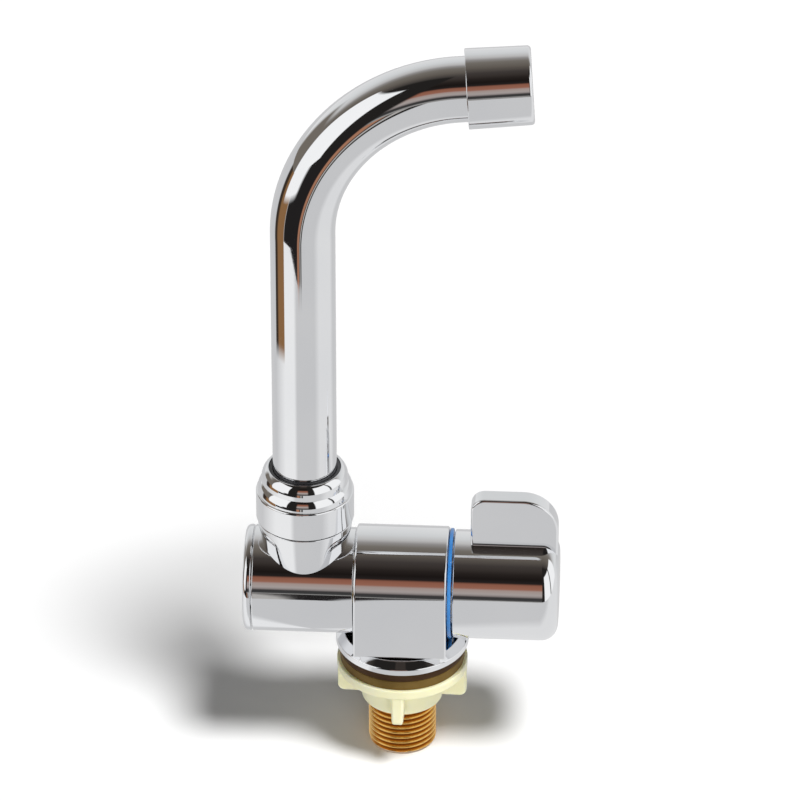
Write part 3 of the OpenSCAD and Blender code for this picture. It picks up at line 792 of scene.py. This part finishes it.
def make_nozzle():
    nozzle = lathe("nozzle", rounded([
        (NOZZLE_BORE_R, NOZZLE_START, 0), (NOZZLE_BACK_R, NOZZLE_START, NOZZLE_BACK_EDGE),
        (NOZZLE_FRONT_R, NOZZLE_STOP, NOZZLE_ROUND), (NOZZLE_MOUTH_R, NOZZLE_STOP, NOZZLE_MOUTH_EDGE),
        (NOZZLE_MOUTH_R, TUBE_END, 0), (NOZZLE_BORE_R, TUBE_END, 0)]), at_bend(BEND_ANGLE))
    finish_piece(nozzle, "nozzle_sleeve", CAST_CHROME)


# Threaded shank: outer thread from the lower end up, plain spigot, and the water bore

THREAD_PITCH = 1.814
THREAD_TOP = 2.2
THREAD_CHAMFER = 0.9
THREAD_STEEPNESS = 1.25
THREAD_SHARP_EDGE = 60
RUNOUT_SLOPE = 1.2
RUNOUT_STEP = 0.16
SHANK_TOP = 11.65
SHANK_TOP_R = 9.48
SHANK_BORE_R = 7.0
SHANK_SEGMENTS = 120
ROWS_PER_TURN = 16


def thread_form(phase):
    """Radius of the rounded pipe thread at a share of its pitch."""
    depth = THREAD_R - THREAD_ROOT_R
    wave = 0.5 + 0.5 * math.cos(2 * math.pi * phase)
    return THREAD_ROOT_R + depth * min(1.0, max(0.0, (wave - 0.5) * THREAD_STEEPNESS + 0.5))


def thread_row(z):
    """Radii around the shank at a height, held below the chamfer and the thread's runout."""
    chamfer = THREAD_R - THREAD_CHAMFER + (z - SHANK_END)
    runout = THREAD_ROOT_R + (THREAD_TOP - z) * RUNOUT_SLOPE + RUNOUT_STEP
    return [min(chamfer, runout, thread_form(z / THREAD_PITCH - k / SHANK_SEGMENTS))
            for k in range(SHANK_SEGMENTS)]


def make_shank():
    count = int((THREAD_TOP - SHANK_END) / THREAD_PITCH * ROWS_PER_TURN)
    rows = []
    for i in range(count + 1):
        z = SHANK_END + (THREAD_TOP - SHANK_END) * i / count
        rows.append((z, thread_row(z)))
    for z, r in ((THREAD_TOP, SHANK_TOP_R), (SHANK_TOP, SHANK_TOP_R),
                 (SHANK_TOP, SHANK_BORE_R), (SHANK_END, SHANK_BORE_R)):
        rows.append((z, [r] * SHANK_SEGMENTS))
    verts = [point for z, radii in rows for point in circle(radii, z)]
    shank = mesh_object("inlet_shank", verts, ring_faces(len(rows), SHANK_SEGMENTS))
    finish_piece(shank, "threaded_shank", BRASS, THREAD_SHARP_EDGE)


# Gaskets above and below the deck

GASKET_R = 19.2
GASKET_EDGE = 0.3
GASKET_BORE_R = 10.7275
GASKET_BORE_EDGE = 0.1


def make_gasket(name, node, top, mat):
    low = top - GASKET_T
    gasket = lathe(name, rounded([
        (GASKET_BORE_R, low, GASKET_BORE_EDGE), (GASKET_R, low, GASKET_EDGE),
        (GASKET_R, top, GASKET_EDGE), (GASKET_BORE_R, top, GASKET_BORE_EDGE)], 5))
    finish_piece(gasket, node, mat)


# Wing nut: flanged hub with four wings that get thinner downwards

NUT_TOP = -GASKET_T
NUT_BOTTOM = -17.25
NUT_BORE_R = 10.53
NUT_BORE_EDGE = 0.3
NUT_HUB_R = 12.5
NUT_HUB_EDGE = 0.5
NUT_HUB_TOP_R = 13.1
NUT_HUB_FILLET = 1.2
NUT_FLANGE_R = 20.2
NUT_FLANGE_Z = -6.35
NUT_FLANGE_LOW_EDGE = 0.8
NUT_FLANGE_TOP_EDGE = 0.4
NUT_SEGMENTS = 128
NUT_TURN = -1.5
WING_COUNT = 4
WING_ROOT_R = 11.3
WING_REACH = 20.0
WING_LIFT = 0.6
WING_SINK = 1.0
WING_FOOT = NUT_BOTTOM + WING_LIFT
WING_TOP = NUT_FLANGE_Z + WING_SINK
WING_T = 4.2
WING_DRAFT = 0.4
WING_EDGE = 0.9
WING_CORNER = 1.0
WING_ROUND = 2.2


def wing_slim(z):
    """Share of the wing's thickness left at a height."""
    return 1 - 2 * WING_DRAFT / WING_T * (WING_TOP - z) / (WING_TOP - WING_FOOT)


def make_hub():
    return lathe("clamp_wing_nut", rounded([
        (NUT_BORE_R, NUT_BOTTOM, NUT_BORE_EDGE), (NUT_HUB_R, NUT_BOTTOM, NUT_HUB_EDGE),
        (NUT_HUB_TOP_R, NUT_FLANGE_Z, NUT_HUB_FILLET), (NUT_FLANGE_R, NUT_FLANGE_Z, NUT_FLANGE_LOW_EDGE),
        (NUT_FLANGE_R, NUT_TOP, NUT_FLANGE_TOP_EDGE), (NUT_BORE_R, NUT_TOP, NUT_BORE_EDGE)], 6),
        segments=NUT_SEGMENTS)


def make_nut():
    nut = make_hub()
    outline = rounded([
        (WING_ROOT_R, WING_FOOT, WING_CORNER), (WING_REACH, WING_FOOT, WING_ROUND),
        (WING_REACH, WING_TOP, WING_CORNER), (WING_ROOT_R, WING_TOP, WING_CORNER)])
    for k in range(WING_COUNT):
        turn = Matrix.Rotation(math.radians(NUT_TURN + 360 / WING_COUNT * k), 4, "Z")
        join(nut, slab("wing", outline, -WING_T / 2, WING_T / 2, WING_EDGE, turn @ UPRIGHT, slim=wing_slim))
    finish_piece(nut, "wing_nut", CREAM)


# Inner pieces keep their CAD shape

def dress_inner():
    for node, obj in frame["nodes"].items():
        if not obj.hide_render:
            obj.data.materials.clear()
            obj.data.materials.append(INNER[SLOTS[node]])


# Floor: plain white paper. The polished parts see it with a few things lying around, which are placed by
# their bearing from the spout, in degrees from the front, and by their distance from it, in metres.

FLOOR_Z = SHANK_END * MM
FLOOR_HALF = 4
FLOOR_WHITE = (0.97, 0.97, 0.97)
WHITE = (1.0, 1.0, 1.0)
PAPER = (0.63, 0.63, 0.635)
LIT_PAPER = (0.91, 0.91, 0.91)
DARK = (0.018, 0.016, 0.016)
EMBER = (0.40, 0.19, 0.115)
GREY = (0.48, 0.46, 0.44)
STRIPES = (
    (-66, PAPER), (-64, DARK), (-16.5, DARK), (-14.5, EMBER), (-9.5, EMBER), (-8.5, DARK), (-7.6, DARK),
    (-6.6, GREY), (-4.8, GREY), (-3.8, DARK), (-1.6, DARK), (-0.6, PAPER))
BOARD = ((-110, (0.03, 0.024, 0.02)), (-97, (0.05, 0.034, 0.024)), (-92, (0.27, 0.14, 0.06)))
SLANT_FROM, SLANT_TO, SLANT_ANGLE = 0.279, 0.326, 52


def floor_place(tree):
    """Bearing and distance of the point that is shaded."""
    spot = tree.add("NewGeometry").outputs["Position"]
    split = tree.add("SeparateXYZ")
    tree.link(spot, split.inputs["Vector"])
    east = tree.calc("SUBTRACT", split.outputs["X"], NECK_X * MM)
    south = tree.calc("MULTIPLY", split.outputs["Y"], -1.0)
    away = tree.add("VectorMath")
    away.operation = "DISTANCE"
    tree.link(spot, away.inputs[0])
    away.inputs[1].default_value = (NECK_X * MM, 0, FLOOR_Z)
    return tree.calc("ARCTAN2", east, south), away.outputs["Value"]


def floor_view(tree):
    """Paper, lit at both sides; stripes in front, a brown board and a white panel's foot at the left."""
    bearing, distance = floor_place(tree)
    glow = tree.window(bearing, turns(
        (-180, 0), (-110, 0), (-66, 1), (-30, 1), (-20, 0),
        (42, 0), (60, 0.6), (112, 0.6), (130, 0), (180, 0)))
    view = tree.blend(glow, PAPER, LIT_PAPER)

    slant = tree.calc("MULTIPLY", tree.span(distance, SLANT_FROM, SLANT_TO), math.radians(SLANT_ANGLE))
    slanted = tree.calc("ADD", bearing, slant)
    wedge = tree.both(
        tree.window(slanted, turns((-15.5, 0), (-14, 1))), tree.window(bearing, turns((0, 1), (0.5, 0))))
    wedge = tree.both(wedge, tree.window(distance, [(0.262, 0), (0.276, 0.3), (0.281, 1)]))
    view = tree.blend(wedge, view, tree.colours(bearing, turns(*STRIPES)))

    board = tree.both(
        tree.window(bearing, turns((-110, 0), (-106, 1), (-67, 1), (-65, 0))),
        tree.window(distance, [(0.226, 0), (0.236, 1)]))
    view = tree.blend(board, view, tree.colours(bearing, turns(*BOARD)))

    panel_foot = tree.both(
        tree.window(bearing, turns((-87, 0), (-85, 1), (-52, 1), (-46, 0))),
        tree.window(distance, [(0.68, 0), (0.90, 1)]))
    return tree.blend(panel_foot, view, WHITE)


def floor_paper():
    mat, tree, shader, _ = material("floor_white")
    shader.inputs["Base Color"].default_value = (*FLOOR_WHITE, 1)
    shader.inputs["Roughness"].default_value = 0.9
    shader.inputs["Specular IOR Level"].default_value = 0.0
    mirrored = tree.add("Emission")
    tree.link(floor_view(tree), mirrored.inputs["Color"])
    glossy = tree.add("LightPath").outputs["Is Glossy Ray"]
    tree.link(tree.mix(glossy, shader.outputs["BSDF"], mirrored.outputs["Emission"]),
              tree.nodes["Material Output"].inputs["Surface"])
    return mat


def make_floor():
    corners = [(FLOOR_HALF * x, FLOOR_HALF * y, FLOOR_Z) for x, y in ((-1, -1), (1, -1), (1, 1), (-1, 1))]
    mesh = bpy.data.meshes.new("floor")
    mesh.from_pydata(corners, [], [[0, 1, 2, 3]])
    mesh.materials.append(floor_paper())
    floor = bpy.data.objects.new("floor", mesh)
    bpy.context.scene.collection.objects.link(floor)


# World: white to the camera, and a soft even light. The polished parts see a studio in it: bands by their
# angle from the front horizon over the top to the back, and walls and panels by their azimuth.

SOFT_LIGHT = 0.08
LOW_BANDS = (
    (0, (0.30, 0.29, 0.28)), (1.5, (0.05, 0.05, 0.05)), (7, (0.045, 0.042, 0.042)),
    (10.5, (0.30, 0.26, 0.25)), (14, (0.42, 0.37, 0.35)), (22, (0.40, 0.31, 0.28)),
    (25.5, (0.33, 0.14, 0.092)), (34, (0.28, 0.11, 0.07)), (38, (0.02, 0.016, 0.015)))
DUSK_BANDS = (
    (46, (0.012, 0.009, 0.008)), (56, (0.022, 0.017, 0.015)), (65, (0.042, 0.034, 0.030)),
    (74, (0.055, 0.046, 0.042)))
NIGHT_BANDS = ((72, (0.018, 0.016, 0.015)), (78, (0.065, 0.056, 0.050)))
HIGH_BANDS = (
    (90, (0.13, 0.112, 0.095)), (108, (0.19, 0.172, 0.15)), (118, (0.31, 0.295, 0.285)),
    (127, (0.55, 0.54, 0.53)), (142, (0.69, 0.70, 0.70)), (155, (0.75, 0.76, 0.76)),
    (180, (0.80, 0.80, 0.80)))
WALL = (0.18, 0.158, 0.135)


def studio_view(tree):
    """Colour of the room by direction, and the share of it that white panels cover."""
    split = tree.add("SeparateXYZ")
    tree.link(tree.add("TexCoord").outputs["Generated"], split.inputs["Vector"])
    front = tree.calc("MULTIPLY", split.outputs["Y"], -1.0)
    height = tree.calc("MAXIMUM", split.outputs["Z"], 0.0)
    over = tree.calc("ARCTAN2", height, front)
    azimuth = tree.calc("ARCTAN2", split.outputs["X"], front)

    full_room = tree.colours(over, turns(*LOW_BANDS, *DUSK_BANDS, *HIGH_BANDS))
    dark_room = tree.colours(over, turns(*NIGHT_BANDS, *HIGH_BANDS))
    ahead = tree.window(azimuth, turns((-17, 0), (-14, 1), (10, 1), (13, 0)))
    room = tree.blend(ahead, dark_room, full_room)
    left_wall = tree.both(
        tree.window(azimuth, turns((-132, 0), (-122, 1), (-90, 1), (-88, 0))),
        tree.window(height, [(0.0, 1), (0.32, 1), (0.42, 0)]))
    room = tree.blend(left_wall, room, WALL)

    wide = tree.window(azimuth, turns(
        (-180, 0), (-88, 0), (-87, 1), (-39, 1), (-38, 0), (28, 0), (29, 1), (70, 1), (71, 0),
        (75, 0), (76, 1), (108, 1), (109, 0), (180, 0)))
    tall = tree.window(split.outputs["Z"], [(0.0, 1), (0.75, 1), (0.78, 0)])
    return room, tree.both(wide, tall)


def background(tree, colour=WHITE, strength=1.0):
    node = tree.add("Background")
    node.inputs["Strength"].default_value = strength
    if isinstance(colour, tuple):
        node.inputs["Color"].default_value = (*colour, 1)
    else:
        tree.link(colour, node.inputs["Color"])
    return node.outputs["Background"]


def make_world():
    world = bpy.data.worlds.new("studio")
    bpy.context.scene.world = world
    world.use_nodes = True
    tree = Tree(world.node_tree)
    tree.nodes.clear()
    room, panels = studio_view(tree)
    ray = tree.add("LightPath").outputs
    mirrored = tree.mix(panels, background(tree, room), background(tree))
    unseen = tree.mix(ray["Is Glossy Ray"], background(tree, strength=SOFT_LIGHT), mirrored)
    seen = tree.mix(ray["Is Camera Ray"], unseen, background(tree))
    tree.link(seen, tree.add("OutputWorld").inputs["Surface"])


# Lamps: name, strength, width in degrees and direction

LAMPS = (("key", 3.1, 16, (-18, 17, -58)), ("fill", 1.0, 45, (-10, 60, -17)))


def make_lamps():
    for name, energy, width, along in LAMPS:
        lamp_data = bpy.data.lights.new(name, "SUN")
        lamp_data.energy = energy
        lamp_data.angle = math.radians(width)
        lamp = bpy.data.objects.new(name, lamp_data)
        lamp.rotation_euler = Vector(along).to_track_quat("-Z", "Y").to_euler()
        lamp.visible_glossy = False
        bpy.context.scene.collection.objects.link(lamp)


# Camera at the photograph's viewing angle, in metres and degrees

SENSOR = 36
LENS = 308.8
CLIP_END = 50
CAMERA_AT = (0.0971, -1.7286, 1.2278)
CAMERA_DOWN = 33.29
CAMERA_TURN = 3.24


def make_camera():
    camera_data = bpy.data.cameras.new("camera")
    camera_data.sensor_width = SENSOR
    camera_data.lens = LENS
    camera_data.clip_end = CLIP_END
    camera = bpy.data.objects.new("camera", camera_data)
    camera.location = CAMERA_AT
    camera.rotation_euler = (math.radians(90 - CAMERA_DOWN), 0, math.radians(CAMERA_TURN))
    bpy.context.scene.collection.objects.link(camera)
    bpy.context.scene.camera = camera


make_body()
make_ring()
make_handle()
make_elbow()
make_cap()
make_collar()
make_bush()
make_spout()
make_nozzle()
make_shank()
make_gasket("upper_gasket", "base_gasket", GASKET_T, DARK_RUBBER)
make_gasket("lower_gasket", "clamp_gasket", 0.0, OLIVE_RUBBER)
make_nut()
dress_inner()
make_floor()
make_world()
make_lamps()
make_camera()
bpy.context.scene.view_settings.view_transform = "Standard"
